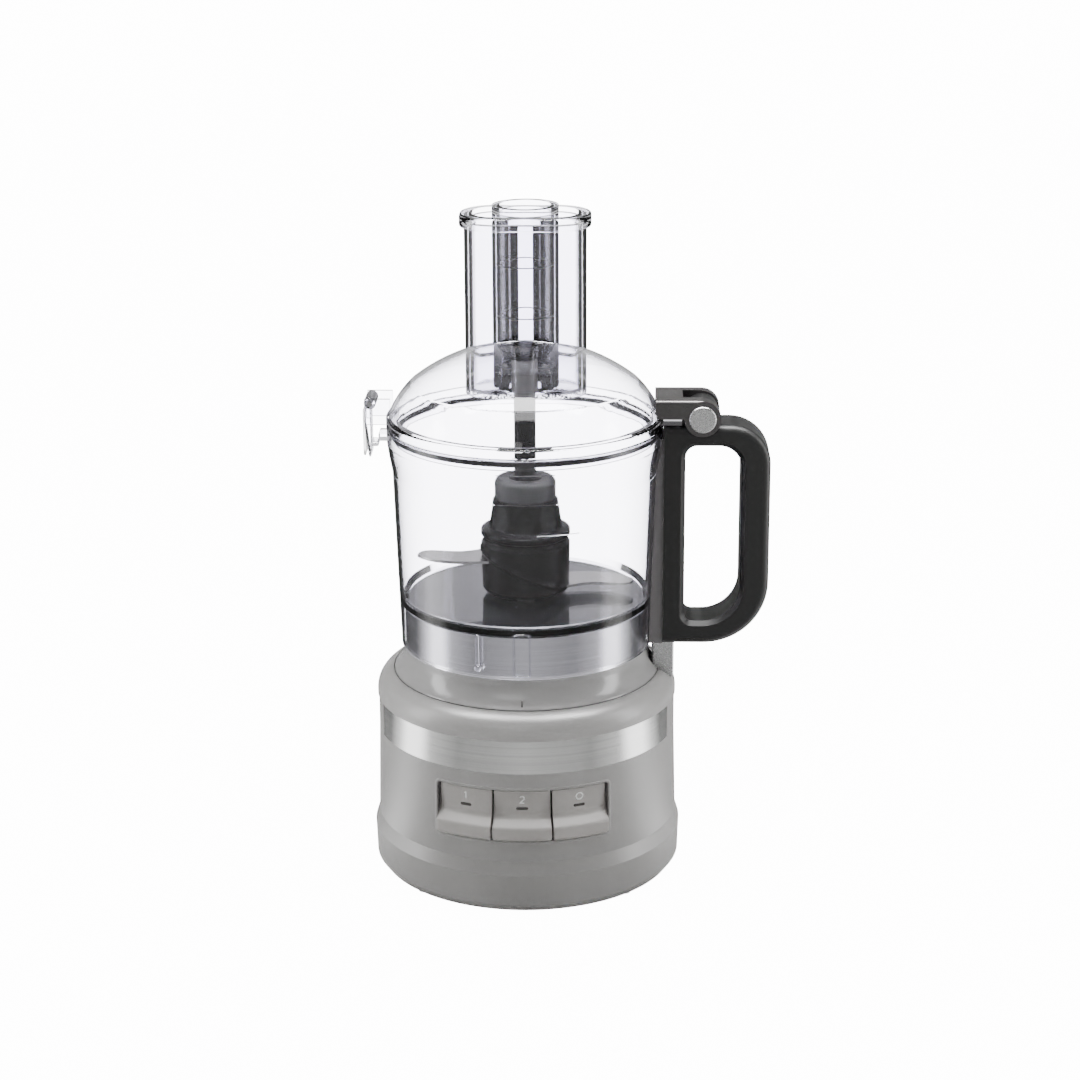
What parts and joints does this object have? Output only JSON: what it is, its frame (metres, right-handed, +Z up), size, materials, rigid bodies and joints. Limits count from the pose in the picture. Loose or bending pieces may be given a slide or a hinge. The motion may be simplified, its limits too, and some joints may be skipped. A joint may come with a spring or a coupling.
{
  "type": "food processor",
  "caption": "Food processor with a clear lift-off bowl, hinged lid with an oblong feed tube and nested pushers, loop handle, S-blade and three press keys on a round motor base.",
  "frame": {"origin": "on the blade axis, at the plane of the four rubber feet", "axes": "+Z up along the blade axis, -Y towards the keys, +X towards the handle"},
  "size_m": [0.2369, 0.1893, 0.394],
  "materials": {
    "arm_grey": "dark grey metallic",
    "belt_rubber": "ribbed belt",
    "black_gloss": "smooth black",
    "black_plastic": "fine textured black",
    "board": "solder mask",
    "body_plastic": "satin warm grey moulded plastic",
    "brushed": "brushed round the circumference",
    "cap_grey": "dark grey plastic",
    "cast": "die cast",
    "clear": "clear copolyester",
    "copper": "enamelled copper wire",
    "foot_rubber": "matte rubber",
    "frosted": "frosted clear plastic",
    "inner_plastic": "glass filled nylon",
    "key_plastic": "satin warm grey moulded plastic",
    "lens": "dark translucent indicator lens",
    "neck_plastic": "glossy warm grey moulded plastic",
    "plain_steel": "machined steel",
    "seal_rubber": "soft silicone seal",
    "silver": "satin silver",
    "spine_grey": "satin grey plastic",
    "steel": "ground stainless steel"
  },
  "bodies": {
    "base": {"base_housing": "body_plastic", "trim_band": "brushed", "key_bezel": "body_plastic", "base_plate": "body_plastic", "rubber_feet": "foot_rubber", "base_screws": "plain_steel", "cord_gland": "foot_rubber", "shoulder_cover": "body_plastic", "neck_collar": "neck_plastic", "pedestal_sleeve": "brushed", "pedestal_core": "inner_plastic", "spindle_seal": "seal_rubber", "motor_chassis": "cast", "spindle_bearings": "plain_steel", "motor_stator": "plain_steel", "field_coils": "copper", "motor_end_frames": "inner_plastic", "brush_gear": "copper", "drive_belt": "belt_rubber", "control_board": "board", "tact_switches": "inner_plastic", "key_pins": "plain_steel", "interlock_switch": "inner_plastic"},
    "spindle": {"drive_spindle": "plain_steel", "spindle_pulley": "inner_plastic", "retaining_ring": "plain_steel"},
    "rotor": {"rotor_shaft": "plain_steel", "rotor_core": "plain_steel", "commutator": "copper", "cooling_fan": "inner_plastic", "motor_pulley": "inner_plastic"},
    "key_one": {"key_one": "key_plastic", "key_one_lens": "lens"},
    "key_two": {"key_two": "key_plastic", "key_two_lens": "lens"},
    "key_pulse": {"key_pulse": "key_plastic", "key_pulse_lens": "lens"},
    "bowl": {"bowl": "clear", "handle_spine": "spine_grey", "handle_grip": "black_plastic", "handle_foot": "silver", "handle_screws": "plain_steel"},
    "rod": {"interlock_rod": "inner_plastic", "interlock_spring": "plain_steel"},
    "lid": {"lid": "clear", "lid_seal": "seal_rubber", "lid_hub_bush": "black_plastic", "hinge_arm": "arm_grey", "hinge_pin": "plain_steel", "hinge_caps": "silver", "latch_pin": "plain_steel"},
    "latch": {"latch_lever": "clear", "latch_plate": "frosted"},
    "large_pusher": {"large_pusher": "clear"},
    "small_pusher": {"small_pusher": "clear"},
    "blade": {"drive_adapter": "black_gloss", "blade_hub": "black_gloss", "blade_cap": "cap_grey", "upper_blade": "steel", "lower_blade": "steel"}
  },
  "joints": [
    {"name": "spindle_spin", "type": "hinge", "parent": "base", "child": "spindle", "pos_m": [0, 0, 0], "axis": [0, 0, 1], "continuous": true},
    {"name": "motor_spin", "type": "hinge", "parent": "base", "child": "rotor", "pos_m": [0, 0.045, 0], "axis": [0, 0, 1], "continuous": true},
    {"name": "key_one_press", "type": "hinge", "parent": "base", "child": "key_one", "pos_m": [-0.03023, -0.07407, 0.0723], "axis": [0.9259, -0.3778, 0], "range_deg": [0, 4], "stiffness_Nm_per_rad": 0.6, "springref_deg": -2.86},
    {"name": "key_two_press", "type": "hinge", "parent": "base", "child": "key_two", "pos_m": [0, -0.08, 0.0723], "axis": [1, 0, 0], "range_deg": [0, 4], "stiffness_Nm_per_rad": 0.6, "springref_deg": -2.86},
    {"name": "key_pulse_press", "type": "hinge", "parent": "base", "child": "key_pulse", "pos_m": [0.03023, -0.07407, 0.0723], "axis": [0.9259, 0.3778, 0], "range_deg": [0, 4], "stiffness_Nm_per_rad": 0.6, "springref_deg": -2.86},
    {"name": "bowl_lift", "type": "slide", "parent": "base", "child": "bowl", "axis": [0, 0, 1], "range_m": [0, 0.14]},
    {"name": "lid_hinge", "type": "hinge", "parent": "bowl", "child": "lid", "pos_m": [0.103, 0, 0.278], "axis": [0, 1, 0], "range_deg": [0, 95]},
    {"name": "rod_slide", "type": "slide", "parent": "bowl", "child": "rod", "axis": [0, 0, 1], "range_m": [0, 0.003], "deforming": ["interlock_spring"]},
    {"name": "latch_swing", "type": "hinge", "parent": "lid", "child": "latch", "pos_m": [-0.0895, 0, 0.285], "axis": [0, 1, 0], "range_deg": [0, 40]},
    {"name": "large_pusher_slide", "type": "slide", "parent": "lid", "child": "large_pusher", "axis": [0, 0, 1], "range_m": [0, 0.11]},
    {"name": "small_pusher_slide", "type": "slide", "parent": "large_pusher", "child": "small_pusher", "axis": [0, 0, 1], "range_m": [0, 0.11]},
    {"name": "blade_spin", "type": "hinge", "parent": "bowl", "child": "blade", "pos_m": [0, 0, 0], "axis": [0, 0, 1], "continuous": true}
  ],
  "couplings": [
    {"joint": "motor_spin", "follows": "spindle_spin", "ratio": 3.6667},
    {"joint": "blade_spin", "follows": "spindle_spin", "ratio": 1},
    {"joint": "rod_slide", "follows": "lid_hinge", "m_per_rad": 0.0018075}
  ]
}
